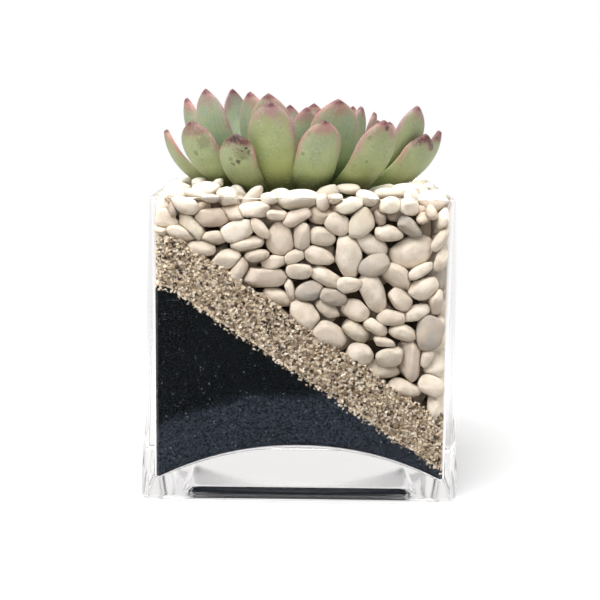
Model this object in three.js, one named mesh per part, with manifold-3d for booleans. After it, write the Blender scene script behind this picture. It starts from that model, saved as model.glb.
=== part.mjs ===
// A cube vase of pressed glass, filled with black sand, tan sand and pebbles, with a rosette succulent.
// Millimetres, +Z up, -Y is the front. The origin is in the middle of the vase's foot.

import * as THREE from 'three';
import Module from 'manifold-3d';

const wasm = await Module();
wasm.setup();

const DEGREE = Math.PI / 180;
const GAP = 0.3; // clearance between pieces that touch
const LEAF_CLEARANCE = 0.4; // clearance between the leaves and the pebbles

// Vase: a square with rounded corners, a little wider at the foot than at the rim
const VASE_HEIGHT = 121.8;
const BASE_HALF = 63.5;
const RIM_HALF = 60.35;
const OUTER_CORNER = 3.2;
const FOOT_ROUND = 2.6;
const RIM_ROUND = 0.6;
const FOOT_INNER_HALF = 48.5;
const RECESS_HALF = 45.5;
const RECESS_DEPTH = 2.6;
const RECESS_EDGE = 2.1;
const RECESS_ROUND = 3.5;

// Cavity: nearly straight walls over a floor that is low in the corners and arched between them
const CAVITY_TOP_HALF = 59.1;
const CAVITY_LOW_HALF = 58.6;
const CAVITY_CORNER = 2;
const LEAST_CORNER = 1; // of what fills the cavity
const FLOOR_LOW = 6.3;
const FLOOR_RISE = 14.8;
const FLOOR_POWER = 2.1;
const FLOOR_ROUND = 2.4;
const FLOOR_RING_SHARES = [0.78, 0.52, 0.26];
const SIDE_STEPS = 7;
const CORNER_STEPS = 3;
const ROUND_STEPS = 2;

// Sand layers: two poured slopes, flattened where they meet the left and right walls
const SAND_SLOPE = -0.665;
const BLACK_MIDDLE = 51.6;
const BLACK_CREST = 87.6;
const TAN_SLOPE = -0.69;
const TAN_MIDDLE = 71.3;
const TAN_CREST = 105.6;
const TAN_TOE = 34.2;
const SLOPE_SOFTNESS = 1.6;
const SAND_RIPPLE = 0.5;
const BANK_HALF = 70;
const BANK_STEPS = 11;

// Pebble heap: a low ring round the plant, a bowl under its leaves
const HEAP_EDGE = 120.5;
const HEAP_RISE = 7.5;
const HEAP_POWER = 7;
const BOWL_DEPTH = 16;
const BOWL_RADIUS = 47;
const BOWL_POWER = 3;
const HEAP_SQUARENESS = 6;
const CORE_INSET = 4.4;
const BED_CEILING = 130; // above the highest pebble

// Pebbles: half lengths, then half widths and half thicknesses as shares of them
const PEBBLE_SEED = 20417;
const PEBBLE_LONG = [7.1, 10.8]; // about a third larger than life
const PEBBLE_SHRINK = [0.85, 1]; // makes the longest ones rare
const PEBBLE_WIDE = [0.62, 0.85];
const PEBBLE_FLAT = [0.42, 0.6];
const PEBBLE_FULLNESS = 1.08; // makes up for the corners cut off by few flat faces
const LEVEL_SHARE = 0.8; // so many lie nearly level, the others at any slant
const LEVEL_LEAN = 40;
const EDGE_SHARE = 0.16; // so many show their narrow side
const EDGE_TURN = [60, 90];
const FLAT_TURN = 16;
const PEBBLE_TILT = 12;

// Placing of the pebbles: rows against the walls and over the heap, then pushed apart
const PEBBLE_ROW = 11.9;
const PEBBLE_STEP = 16.8;
const WALL_INSET = 4;
const TOP_INSET = 10;
const SIDE_SHIFT = 2;
const TOP_SHIFT = 4;
const BARE_RADIUS = 26; // no pebbles are needed under the plant
const RELAX_PASSES = 70;
const PUSH_SHARE = 0.3;
const SAND_REST = 0.7; // height of a pebble's middle above the sand, as a share of its half height

// Root ball: the soil plug under the plant, tapered as it came out of its nursery pot
const PLUG_TOP = 109;
const PLUG_BOTTOM = 78;
const PLUG_TOP_RADIUS = 23;
const PLUG_BOTTOM_RADIUS = 18;
const PLUG_CHAMFER = 2;
const PLUG_SIDES = 18;
const STEM_RADIUS = 5;
const STEM_SLIMMING = 0.2; // the stem is thinner than its hole by this
const STEM_CHAMFER = 1;
const STEM_POINT = 4;
const STEM_BOTTOM = 86;
const STEM_TOP = 130;
const STEM_SIDES = 10;

// Rosette: leaves on a golden-angle spiral; pairs give the outermost and the middle leaf
const LEAF_COUNT = 43;
const FIRST_LEAF_TURN = -10;
const GOLDEN_ANGLE = 137.508;
const LEAF_REACH = [56, 4];
const REACH_POWER = 0.75;
const TIP_HEIGHT = 149;
const TIP_RISE = 9; // how much higher the tips halfway along the spiral are
const LEAF_WIDTH = [18, 8];
const WIDTH_POWER = 1.5;
const WIDTH_SWELL = 2;
const LEAF_THICKNESS = [6.4, 4];
const ROOT_RADIUS = 2.5;
const ROOT_HEIGHT = [114, 124];
const KNEE_HEIGHT = [120, 130];
const KNEE_INSET = [4, 1];

// One leaf: places along its length and its cross-section, all as shares
const LEAF_STATIONS = [0, 0.25, 0.5, 0.72, 0.87, 0.965];
const BROADEST = 0.6;
const ROOT_WIDTH = 0.48;
const ARCH_POWER = 7.5;
const BACK_SHARE = 0.74;
const BACK_FULLNESS = [0.8, 0.3];
const FULLNESS_POWER = 3;
const FRONT_SHARE = 0.1;
const CUP_SHARE = 0.16;
const SHOULDER = { flatwise: 0.55, thickwise: 0.78 };

// Leaves seen from the front, by their place in the spiral: direction, reach and height of the tip,
// twist about the leaf's own length, and how far its root is turned aside from its tip
const SEEN_LEAVES = {
  0: { turn: 338, reachOut: 55, tipHeight: 146.5, twist: 28 },
  2: { turn: 255, reachOut: 51, tipHeight: 159.5, width: 21, sweep: -5 },
  3: { tipHeight: 150 },
  4: { turn: 184, reachOut: 58.5, tipHeight: 146.5, twist: -5 },
  5: { turn: 305, reachOut: 56, tipHeight: 152.5, width: 20, sweep: -4 },
  7: { turn: 241, reachOut: 55, tipHeight: 146.5, width: 18, sweep: -12 },
  8: { turn: 353, reachOut: 58, tipHeight: 147.5, twist: 8 },
  10: { turn: 279, reachOut: 53, tipHeight: 152.5, width: 17.5, sweep: -7 },
  11: { tipHeight: 154 },
  12: { turn: 217, reachOut: 57, tipHeight: 151, twist: -18, sweep: -3 },
  13: { turn: 338, reachOut: 51, tipHeight: 158, twist: 24 },
  15: { turn: 249, reachOut: 40, tipHeight: 162.5, width: 20 },
  16: { turn: 30, reachOut: 38, tipHeight: 151 },
  17: { turn: 181, reachOut: 50, tipHeight: 160, twist: -26 },
  18: { turn: 293, reachOut: 36, tipHeight: 160.5, width: 23 },
  20: { turn: 226, reachOut: 32, tipHeight: 163, width: 19 },
  21: { turn: 345, reachOut: 31, tipHeight: 155 },
  22: { turn: 141, reachOut: 41, tipHeight: 164, width: 18 },
  23: { turn: 273, reachOut: 25, tipHeight: 157 },
  24: { turn: 48, reachOut: 33, tipHeight: 157 },
  25: { turn: 208, reachOut: 46, tipHeight: 164, width: 17, twist: -26 },
};

// Small seeded generator, so that every build is the same
function makeRandom(seed) {
  let state = seed;
  return (low = 0, high = 1) => {
    state = (state * 16807) % 2147483647;
    return low + (high - low) * (state / 2147483647);
  };
}

function mix(from, to, share) {
  return from + (to - from) * share;
}

function softMin(a, b, softness) {
  return -softness * Math.log(Math.exp(-a / softness) + Math.exp(-b / softness));
}

// Points anticlockwise round a square with rounded corners; height is a number or a function of x and y
function squareRing(half, corner, height) {
  const straight = half - corner;
  const quarter = [];
  for (let step = 1; step < SIDE_STEPS; step += 1) {
    quarter.push([mix(-straight, straight, step / SIDE_STEPS), -half]);
  }
  for (let step = 0; step <= CORNER_STEPS; step += 1) {
    const angle = -Math.PI / 2 + (Math.PI / 2) * (step / CORNER_STEPS);
    quarter.push([straight + corner * Math.cos(angle), -straight + corner * Math.sin(angle)]);
  }
  const ring = [];
  for (let side = 0; side < 4; side += 1) {
    for (const [x, y] of quarter) {
      const turned = [[x, y], [-y, x], [-x, -y], [y, -x]][side];
      const z = typeof height === 'function' ? height(turned[0], turned[1]) : height;
      ring.push([turned[0], turned[1], z]);
    }
  }
  return ring;
}

// A closed skin over rings of points, each joined to the next, with both ends filled by a fan
function loft(rings) {
  const vertices = [];
  const triangles = [];
  const starts = [];
  for (const ring of rings) {
    starts.push(vertices.length);
    vertices.push(...ring);
  }
  const addTriangle = (a, b, c) => triangles.push([a, b, c]);
  for (let level = 0; level + 1 < rings.length; level += 1) {
    const lower = rings[level].length;
    const upper = rings[level + 1].length;
    const count = Math.max(lower, upper);
    for (let step = 0; step < count; step += 1) {
      const next = (step + 1) % count;
      const low = starts[level];
      const high = starts[level + 1];
      if (lower === 1) {
        addTriangle(low, high + next, high + step);
      } else if (upper === 1) {
        addTriangle(low + step, low + next, high);
      } else {
        addTriangle(low + step, low + next, high + next);
        addTriangle(low + step, high + next, high + step);
      }
    }
  }
  return { vertices, triangles };
}

function signedVolume({ vertices, triangles }) {
  let volume = 0;
  for (const [a, b, c] of triangles) {
    const [p, q, r] = [vertices[a], vertices[b], vertices[c]].map((v) => new THREE.Vector3(...v));
    volume += p.dot(q.cross(r)) / 6;
  }
  return volume;
}

function toSolid(skin) {
  const outward = signedVolume(skin) > 0;
  const turned = outward ? skin.triangles : skin.triangles.map(([a, b, c]) => [a, c, b]);
  return new wasm.Manifold(new wasm.Mesh({
    numProp: 3,
    vertProperties: new Float32Array(skin.vertices.flat()),
    triVerts: new Uint32Array(turned.flat()),
  }));
}

function toGeometry(solid) {
  const mesh = solid.getMesh();
  const geometry = new THREE.BufferGeometry();
  geometry.setAttribute('position', new THREE.BufferAttribute(new Float32Array(mesh.vertProperties), 3));
  geometry.setIndex(new THREE.BufferAttribute(new Uint32Array(mesh.triVerts), 1));
  geometry.computeVertexNormals();
  return geometry;
}

// A cut can leave loose scraps and sealed hollows: only the largest closed body is kept, filled
function largestBody(solid) {
  const bodies = solid.decompose();
  return bodies.reduce((best, body) => (body.volume() > best.volume() ? body : best));
}

function joined(solids) {
  return wasm.Manifold.union(solids);
}

function cavityHalf(z) {
  return mix(CAVITY_LOW_HALF, CAVITY_TOP_HALF, (z - FLOOR_LOW) / (VASE_HEIGHT - FLOOR_LOW));
}

function floorHeight(x, y) {
  const across = Math.min(1, Math.abs(x) / CAVITY_LOW_HALF);
  const deep = Math.min(1, Math.abs(y) / CAVITY_LOW_HALF);
  return FLOOR_LOW + FLOOR_RISE * (1 - (across * deep) ** FLOOR_POWER);
}

// Rings of the cavity's rounded lower edge and of its floor, from the wall inwards, shrunk by an inset
function cavityFloorRings(inset) {
  const half = CAVITY_LOW_HALF - inset;
  const corner = Math.max(LEAST_CORNER, CAVITY_CORNER - inset);
  const rings = [];
  for (let step = ROUND_STEPS; step >= 0; step -= 1) {
    const angle = (Math.PI / 2) * (step / ROUND_STEPS);
    const inward = FLOOR_ROUND * (1 - Math.sin(angle));
    const up = FLOOR_ROUND * (1 - Math.cos(angle)) + inset;
    rings.push(squareRing(half - inward, corner, (x, y) => floorHeight(x, y) + up));
  }
  for (const share of FLOOR_RING_SHARES) {
    rings.push(squareRing(half * share, corner, (x, y) => floorHeight(x, y) + inset));
  }
  rings.push([[0, 0, floorHeight(0, 0) + inset]]);
  return rings;
}

// The space inside the vase, shrunk by an inset and carried straight up past the rim
function cavitySolid(inset, top) {
  const half = CAVITY_TOP_HALF - inset;
  const corner = Math.max(LEAST_CORNER, CAVITY_CORNER - inset);
  return toSolid(loft([
    [[0, 0, top]],
    squareRing(half, corner, top),
    squareRing(half, corner, VASE_HEIGHT - RIM_ROUND),
    ...cavityFloorRings(inset),
  ]));
}

function makeVase() {
  const rings = [[[0, 0, RECESS_DEPTH]]];
  rings.push(squareRing(RECESS_HALF - RECESS_ROUND, OUTER_CORNER, RECESS_DEPTH));
  rings.push(squareRing(RECESS_HALF, OUTER_CORNER, RECESS_EDGE));
  rings.push(squareRing(FOOT_INNER_HALF, OUTER_CORNER, 0));
  for (let step = 0; step <= ROUND_STEPS; step += 1) {
    const angle = (Math.PI / 2) * (step / ROUND_STEPS);
    const half = BASE_HALF - FOOT_ROUND * (1 - Math.sin(angle));
    rings.push(squareRing(half, OUTER_CORNER, FOOT_ROUND * (1 - Math.cos(angle))));
  }
  for (let step = 0; step <= ROUND_STEPS; step += 1) {
    const angle = (Math.PI / 2) * (step / ROUND_STEPS);
    const half = RIM_HALF - RIM_ROUND * (1 - Math.cos(angle));
    rings.push(squareRing(half, OUTER_CORNER, VASE_HEIGHT - RIM_ROUND * (1 - Math.sin(angle))));
  }
  for (let step = ROUND_STEPS; step >= 0; step -= 1) {
    const angle = (Math.PI / 2) * (step / ROUND_STEPS);
    const half = CAVITY_TOP_HALF + RIM_ROUND * (1 - Math.cos(angle));
    rings.push(squareRing(half, CAVITY_CORNER, VASE_HEIGHT - RIM_ROUND * (1 - Math.sin(angle))));
  }
  rings.push(...cavityFloorRings(0));
  return toSolid(loft(rings));
}

function ripple(x, y) {
  return SAND_RIPPLE * (Math.sin(0.33 * x + 0.12 * y) + Math.sin(0.16 * x - 0.27 * y + 1));
}

function blackTop(x, y) {
  return softMin(BLACK_MIDDLE + SAND_SLOPE * x, BLACK_CREST, SLOPE_SOFTNESS) + 0.5 * ripple(x, y);
}

function tanTop(x, y) {
  const slope = softMin(TAN_MIDDLE + TAN_SLOPE * x, TAN_CREST, SLOPE_SOFTNESS);
  return -softMin(-slope, -TAN_TOE, SLOPE_SOFTNESS) + ripple(x, y);
}

// Everything below a poured surface, wider than the vase
function bankSolid(heightAt) {
  const side = BANK_STEPS + 1;
  const vertices = [];
  const triangles = [];
  const at = (column, row, layer) => (layer * side + row) * side + column;
  for (let layer = 0; layer < 2; layer += 1) {
    for (let row = 0; row < side; row += 1) {
      for (let column = 0; column < side; column += 1) {
        const x = mix(-BANK_HALF, BANK_HALF, column / BANK_STEPS);
        const y = mix(-BANK_HALF, BANK_HALF, row / BANK_STEPS);
        vertices.push([x, y, layer === 0 ? -BANK_HALF : heightAt(x, y)]);
      }
    }
  }
  const addQuad = (a, b, c, d) => triangles.push([a, b, c], [a, c, d]);
  for (let row = 0; row < BANK_STEPS; row += 1) {
    for (let column = 0; column < BANK_STEPS; column += 1) {
      const [right, back] = [column + 1, row + 1];
      addQuad(at(column, row, 1), at(right, row, 1), at(right, back, 1), at(column, back, 1));
      addQuad(at(column, row, 0), at(column, back, 0), at(right, back, 0), at(right, row, 0));
    }
  }
  const last = BANK_STEPS;
  for (let step = 0; step < BANK_STEPS; step += 1) {
    const next = step + 1;
    addQuad(at(step, 0, 0), at(next, 0, 0), at(next, 0, 1), at(step, 0, 1));
    addQuad(at(next, last, 0), at(step, last, 0), at(step, last, 1), at(next, last, 1));
    addQuad(at(0, next, 0), at(0, step, 0), at(0, step, 1), at(0, next, 1));
    addQuad(at(last, step, 0), at(last, next, 0), at(last, next, 1), at(last, step, 1));
  }
  return toSolid({ vertices, triangles });
}

// A solid of revolution about the vertical axis; the profile starts and ends on the axis
function turnedSolid(profile, sides) {
  const rings = profile.map(([radius, z]) => {
    if (radius === 0) {
      return [[0, 0, z]];
    }
    const ring = [];
    for (let step = 0; step < sides; step += 1) {
      const angle = 2 * Math.PI * (step / sides);
      ring.push([radius * Math.cos(angle), radius * Math.sin(angle), z]);
    }
    return ring;
  });
  return toSolid(loft(rings));
}

// The root ball, or with a margin the pocket that it stands in
function plugProfile(margin) {
  return [
    [0, PLUG_BOTTOM - margin],
    [PLUG_BOTTOM_RADIUS - PLUG_CHAMFER + margin, PLUG_BOTTOM - margin],
    [PLUG_BOTTOM_RADIUS + margin, PLUG_BOTTOM + PLUG_CHAMFER],
    [PLUG_TOP_RADIUS + margin, PLUG_TOP - PLUG_CHAMFER],
    [PLUG_TOP_RADIUS - PLUG_CHAMFER + margin, PLUG_TOP + margin],
  ];
}

function makeRootBall() {
  const hole = STEM_RADIUS + GAP;
  const profile = [
    ...plugProfile(0),
    [hole, PLUG_TOP],
    [hole, STEM_BOTTOM - GAP],
    [0, STEM_BOTTOM - GAP],
  ];
  return turnedSolid(profile, PLUG_SIDES);
}

function rootPocket() {
  const throat = STEM_RADIUS + GAP;
  const profile = [
    ...plugProfile(GAP),
    [throat, PLUG_TOP + GAP],
    [throat, STEM_TOP],
    [0, STEM_TOP],
  ];
  return turnedSolid(profile, PLUG_SIDES);
}

function heapTop(x, y) {
  const across = Math.abs(x) / CAVITY_TOP_HALF;
  const deep = Math.abs(y) / CAVITY_TOP_HALF;
  const outward = (across ** HEAP_SQUARENESS + deep ** HEAP_SQUARENESS) ** (1 / HEAP_SQUARENESS);
  const ring = HEAP_EDGE + HEAP_RISE * (1 - outward ** HEAP_POWER);
  const bowl = BOWL_DEPTH * Math.max(0, 1 - (Math.hypot(x, y) / BOWL_RADIUS) ** BOWL_POWER);
  return ring - bowl;
}

// Half the extent of a pebble along a direction, and its half length through the middle
function extent(pebble, direction) {
  const [long, wide, flat] = pebble.axes;
  const [a, b, c] = pebble.sizes;
  return Math.hypot(a * long.dot(direction), b * wide.dot(direction), c * flat.dot(direction));
}

function reach(pebble, direction) {
  const [long, wide, flat] = pebble.axes;
  const [a, b, c] = pebble.sizes;
  return 1 / Math.hypot(long.dot(direction) / a, wide.dot(direction) / b, flat.dot(direction) / c);
}

// A pebble lies with its flat side to the surface it shows on, unless it stands on edge
function makePebble(random, centre, facing, level) {
  const half = random(...PEBBLE_LONG) * random(...PEBBLE_SHRINK);
  const sizes = [half, half * random(...PEBBLE_WIDE), half * random(...PEBBLE_FLAT)];
  const most = random() < LEVEL_SHARE ? LEVEL_LEAN : 90;
  const lean = random(-most, most);
  const across = new THREE.Vector3().crossVectors(facing, level).normalize();
  const long = level.clone().applyAxisAngle(facing, lean * DEGREE);
  const onEdge = random() < EDGE_SHARE ? random(...EDGE_TURN) : random(-FLAT_TURN, FLAT_TURN);
  const flat = facing.clone().applyAxisAngle(long, onEdge * DEGREE);
  const tilt = random(-PEBBLE_TILT, PEBBLE_TILT) * DEGREE;
  long.applyAxisAngle(across, tilt);
  flat.applyAxisAngle(across, tilt);
  const wide = new THREE.Vector3().crossVectors(flat, long).normalize();
  return { centre, sizes, axes: [long, wide, flat], facing };
}

const WALLS = [0, 90, 180, 270].map((turn) => ({
  out: new THREE.Vector3(Math.round(Math.sin(turn * DEGREE)), -Math.round(Math.cos(turn * DEGREE)), 0),
  level: new THREE.Vector3(Math.round(Math.cos(turn * DEGREE)), Math.round(Math.sin(turn * DEGREE)), 0),
}));
const UP = new THREE.Vector3(0, 0, 1);
const EAST = new THREE.Vector3(1, 0, 0);

// Moves a pebble back against its wall or up to the heap's surface, inside the vase and above the sand
function settle(pebble) {
  const { centre, facing } = pebble;
  const tall = extent(pebble, UP);
  const low = tanTop(centre.x, centre.y) + SAND_REST * tall;
  const high = heapTop(centre.x, centre.y) - tall;
  centre.z = facing === UP ? high : Math.max(low, Math.min(high, centre.z));
  const half = cavityHalf(centre.z) - GAP;
  for (const { out } of WALLS) {
    const limit = half - extent(pebble, out);
    const beyond = centre.dot(out) - limit;
    if (beyond > 0 || facing === out) {
      centre.addScaledVector(out, -beyond);
    }
  }
}

function relax(pebbles) {
  for (let pass = 0; pass < RELAX_PASSES; pass += 1) {
    const shifts = pebbles.map(() => new THREE.Vector3());
    for (let i = 0; i < pebbles.length; i += 1) {
      for (let j = i + 1; j < pebbles.length; j += 1) {
        const away = pebbles[j].centre.clone().sub(pebbles[i].centre);
        const distance = away.length();
        if (distance < pebbles[i].sizes[0] + pebbles[j].sizes[0]) {
          away.divideScalar(distance);
          const overlap = reach(pebbles[i], away) + reach(pebbles[j], away) - distance;
          if (overlap > 0) {
            shifts[i].addScaledVector(away, -PUSH_SHARE * overlap);
            shifts[j].addScaledVector(away, PUSH_SHARE * overlap);
          }
        }
      }
    }
    pebbles.forEach((pebble, index) => {
      pebble.centre.add(shifts[index]);
      settle(pebble);
    });
  }
}

function wallPebbles(random, { out, level }) {
  const pebbles = [];
  const span = CAVITY_TOP_HALF - WALL_INSET;
  const rows = Math.floor((HEAP_EDGE - TAN_TOE) / PEBBLE_ROW);
  for (let row = 0; row <= rows; row += 1) {
    const stagger = (row % 2) * 0.5 * PEBBLE_STEP;
    for (let along = -span + stagger; along <= span; along += PEBBLE_STEP) {
      const centre = out.clone().multiplyScalar(span);
      centre.addScaledVector(level, along + random(-SIDE_SHIFT, SIDE_SHIFT));
      centre.z = HEAP_EDGE - WALL_INSET - row * PEBBLE_ROW + random(-SIDE_SHIFT, SIDE_SHIFT);
      const pebble = makePebble(random, centre, out, level);
      if (centre.z > tanTop(centre.x, centre.y)) {
        pebbles.push(pebble);
      }
    }
  }
  return pebbles;
}

function topPebbles(random) {
  const pebbles = [];
  const span = CAVITY_TOP_HALF - TOP_INSET;
  for (let row = -span; row <= span; row += PEBBLE_ROW) {
    for (let column = -span; column <= span; column += PEBBLE_STEP) {
      const x = column + random(-TOP_SHIFT, TOP_SHIFT);
      const y = row + random(-SIDE_SHIFT, SIDE_SHIFT);
      const level = EAST.clone().applyAxisAngle(UP, random(0, Math.PI));
      const pebble = makePebble(random, new THREE.Vector3(x, y, HEAP_EDGE), UP, level);
      if (Math.hypot(x, y) > BARE_RADIUS) {
        pebbles.push(pebble);
      }
    }
  }
  return pebbles;
}

// Rows of pebbles against each wall and over the heap, then nudged apart until they lie side by side
function placePebbles() {
  const random = makeRandom(PEBBLE_SEED);
  const pebbles = WALLS.flatMap((wall) => wallPebbles(random, wall));
  pebbles.push(...topPebbles(random));
  pebbles.forEach(settle);
  relax(pebbles);
  return pebbles;
}

function pebbleSolid({ centre, sizes, axes }) {
  const source = new THREE.IcosahedronGeometry(1, 0);
  const corners = source.getAttribute('position');
  const seen = new Map();
  const vertices = [];
  const triangles = [];
  const point = new THREE.Vector3();
  const indices = [];
  for (let corner = 0; corner < corners.count; corner += 1) {
    point.fromBufferAttribute(corners, corner);
    const key = point.toArray().map((value) => value.toFixed(4)).join();
    if (!seen.has(key)) {
      seen.set(key, vertices.length);
      const placed = centre.clone();
      axes.forEach((axis, which) => {
        placed.addScaledVector(axis, PEBBLE_FULLNESS * sizes[which] * point.getComponent(which));
      });
      vertices.push(placed.toArray());
    }
    indices.push(seen.get(key));
  }
  for (let start = 0; start < indices.length; start += 3) {
    triangles.push(indices.slice(start, start + 3));
  }
  return toSolid({ vertices, triangles });
}

function makePebbleBed(leafSpace) {
  const top = BED_CEILING;
  const core = cavitySolid(CORE_INSET, top)
    .intersect(bankSolid((x, y) => heapTop(x, y) - CORE_INSET));
  const bed = joined([core, ...placePebbles().map(pebbleSolid)])
    .intersect(cavitySolid(GAP, top))
    .subtract(bankSolid((x, y) => tanTop(x, y) + GAP))
    .subtract(rootPocket())
    .subtract(leafSpace);
  return largestBody(bed);
}

// The place and size of one leaf of the spiral: share is 0 for the outermost and 1 for the middle
function leafShape(index) {
  const share = index / (LEAF_COUNT - 1);
  const swell = WIDTH_SWELL * Math.sin(Math.PI * Math.min(1, 2 * share));
  const rule = {
    turn: FIRST_LEAF_TURN + GOLDEN_ANGLE * index,
    reachOut: mix(LEAF_REACH[1], LEAF_REACH[0], (1 - share) ** REACH_POWER),
    tipHeight: TIP_HEIGHT + 4 * TIP_RISE * share * (1 - share),
    width: mix(...LEAF_WIDTH, share ** WIDTH_POWER) + swell,
    twist: 0,
    sweep: 0,
  };
  const leaf = { ...rule, ...SEEN_LEAVES[index] };
  return {
    turn: leaf.turn * DEGREE,
    sweep: leaf.sweep * DEGREE,
    root: [ROOT_RADIUS, mix(...ROOT_HEIGHT, share)],
    knee: [leaf.reachOut - mix(...KNEE_INSET, share), mix(...KNEE_HEIGHT, share)],
    tip: [leaf.reachOut, leaf.tipHeight],
    width: leaf.width,
    thickness: mix(...LEAF_THICKNESS, share),
    twist: leaf.twist * DEGREE,
  };
}

// Half width of a leaf along its length, as a share: widening from the root, then a pointed arch
function leafOutline(along) {
  if (along < BROADEST) {
    return mix(ROOT_WIDTH, 1, Math.sin((Math.PI / 2) * (along / BROADEST)));
  }
  return 1 - ((along - BROADEST) / (1 - BROADEST)) ** ARCH_POWER;
}

function leafSolid(leaf, margin) {
  const middle = new THREE.QuadraticBezierCurve(
    new THREE.Vector2(...leaf.root),
    new THREE.Vector2(...leaf.knee),
    new THREE.Vector2(...leaf.tip),
  );
  const place = (along, radial, height, across) => {
    const turn = leaf.turn + leaf.sweep * (1 - along);
    const outward = [Math.cos(turn), Math.sin(turn)];
    return [
      radial * outward[0] - across * outward[1],
      radial * outward[1] + across * outward[0],
      height,
    ];
  };
  const rings = LEAF_STATIONS.map((along) => {
    const spot = middle.getPoint(along);
    const tangent = middle.getTangent(along);
    const half = 0.5 * leaf.width * leafOutline(along) + margin;
    const fullness = mix(...BACK_FULLNESS, along ** FULLNESS_POWER);
    const back = BACK_SHARE * leaf.thickness * fullness + margin;
    const front = FRONT_SHARE * leaf.thickness + margin;
    const cup = CUP_SHARE * half;
    const section = [
      [-half, -cup],
      [-SHOULDER.flatwise * half, SHOULDER.thickwise * back],
      [0, back],
      [SHOULDER.flatwise * half, SHOULDER.thickwise * back],
      [half, -cup],
      [0, -front],
    ];
    const twist = leaf.twist * Math.sin((Math.PI / 2) * along);
    return section.map(([flatwise, thickwise]) => {
      const across = flatwise * Math.cos(twist) - thickwise * Math.sin(twist);
      const out = flatwise * Math.sin(twist) + thickwise * Math.cos(twist);
      return place(along, spot.x + out * tangent.y, spot.y - out * tangent.x, across);
    });
  });
  const first = middle.getPoint(0);
  const last = middle.getPoint(1);
  const end = middle.getTangent(1);
  rings.unshift([place(0, first.x, first.y, 0)]);
  rings.push([place(1, last.x + margin * end.x, last.y + margin * end.y, 0)]);
  return toSolid(loft(rings));
}

function stemSolid() {
  const radius = STEM_RADIUS - STEM_SLIMMING;
  return turnedSolid([
    [0, STEM_BOTTOM],
    [STEM_RADIUS - STEM_CHAMFER, STEM_BOTTOM],
    [radius, PLUG_TOP],
    [radius, STEM_TOP - STEM_POINT],
    [0, STEM_TOP],
  ], STEM_SIDES);
}

function leafSet(margin) {
  const leaves = [];
  for (let index = 0; index < LEAF_COUNT; index += 1) {
    leaves.push(leafSolid(leafShape(index), margin));
  }
  return leaves;
}

function makeRosette() {
  return largestBody(joined([stemSolid(), ...leafSet(0)]));
}

function makeBlackSand() {
  return largestBody(cavitySolid(GAP, VASE_HEIGHT).intersect(bankSolid(blackTop)));
}

function makeTanSand() {
  const band = cavitySolid(GAP, VASE_HEIGHT)
    .intersect(bankSolid(tanTop))
    .subtract(bankSolid((x, y) => blackTop(x, y) + GAP))
    .subtract(rootPocket());
  return largestBody(band);
}

const group = new THREE.Group();

function addPiece(name, solid, color, roughness, look = {}) {
  const material = new THREE.MeshStandardMaterial({ color, roughness, metalness: 0, ...look });
  const mesh = new THREE.Mesh(toGeometry(solid), material);
  mesh.name = name;
  group.add(mesh);
}

const leafSpace = joined(leafSet(LEAF_CLEARANCE));
addPiece('glass_vase', makeVase(), 0xf4f7f7, 0.03, { transparent: true, opacity: 0.3 });
addPiece('black_sand', makeBlackSand(), 0x14181e, 0.85);
addPiece('tan_sand', makeTanSand(), 0xa99a80, 0.9);
addPiece('pebble_bed', makePebbleBed(leafSpace), 0xd9cfc0, 0.6);
addPiece('root_ball', makeRootBall(), 0x3a2a1e, 1);
addPiece('rosette', makeRosette(), 0x96a87c, 0.55);

export default group;
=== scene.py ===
# Looks of a glass plant terrarium: a thick cube vase with black sand, tan sand, pebbles and a succulent.
# Sizes are in millimetres, as in the solids' own source, and turn into metres where a mesh is made.

import math
from itertools import product

import bpy
import numpy as np
from mathutils import Matrix, Quaternion, Vector
from mathutils.bvhtree import BVHTree


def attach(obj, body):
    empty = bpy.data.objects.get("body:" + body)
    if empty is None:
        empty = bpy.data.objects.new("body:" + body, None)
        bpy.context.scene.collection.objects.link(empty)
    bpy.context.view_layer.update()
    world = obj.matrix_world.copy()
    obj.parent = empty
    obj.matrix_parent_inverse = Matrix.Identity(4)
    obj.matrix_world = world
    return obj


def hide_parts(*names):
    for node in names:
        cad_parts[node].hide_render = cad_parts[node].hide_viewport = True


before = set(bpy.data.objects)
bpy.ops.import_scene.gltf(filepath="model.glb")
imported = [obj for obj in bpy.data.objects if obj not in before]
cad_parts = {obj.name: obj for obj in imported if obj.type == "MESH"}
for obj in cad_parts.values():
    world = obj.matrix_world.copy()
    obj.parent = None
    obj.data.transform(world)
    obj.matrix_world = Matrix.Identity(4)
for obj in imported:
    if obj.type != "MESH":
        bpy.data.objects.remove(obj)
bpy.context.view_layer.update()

MM = 0.001
GAP = 0.3  # clearance between pieces that touch

# Camera: place in millimetres, angles in degrees, focal length in pixels of the 600 pixel wide picture
PHOTO_WIDTH = 600
PHOTO_FOCAL = 1452.2
CAMERA_PLACE = (-0.6, -629.1, 164.9)
CAMERA_PITCH = 8.33
CAMERA_ROLL = 0.68
SENSOR_WIDTH = 36

# Vase: a square with rounded corners, a little wider at the foot than at the rim
VASE_HEIGHT = 121.8
BASE_HALF = 63.5
RIM_HALF = 60.35
OUTER_CORNER = 3.2
FOOT_ROUND = 2.6
RIM_ROUND = 0.6
FOOT_INNER_HALF = 48.5
RECESS_HALF = 45.5
RECESS_DEPTH = 2.6
RECESS_EDGE = 2.1
RECESS_ROUND = 3.5

# Cavity: nearly straight walls over a floor that is low in the corners and arched between them
CAVITY_TOP_HALF = 59.1
CAVITY_LOW_HALF = 58.6
CAVITY_CORNER = 2
LEAST_CORNER = 1  # of what fills the cavity
FLOOR_LOW = 6.3
FLOOR_RISE = 14.8
FLOOR_POWER = 2.1
FLOOR_ROUND = 2.4
FLOOR_RINGS = 14
SIDE_STEPS = 28
CORNER_STEPS = 10
ROUND_STEPS = 8

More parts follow.
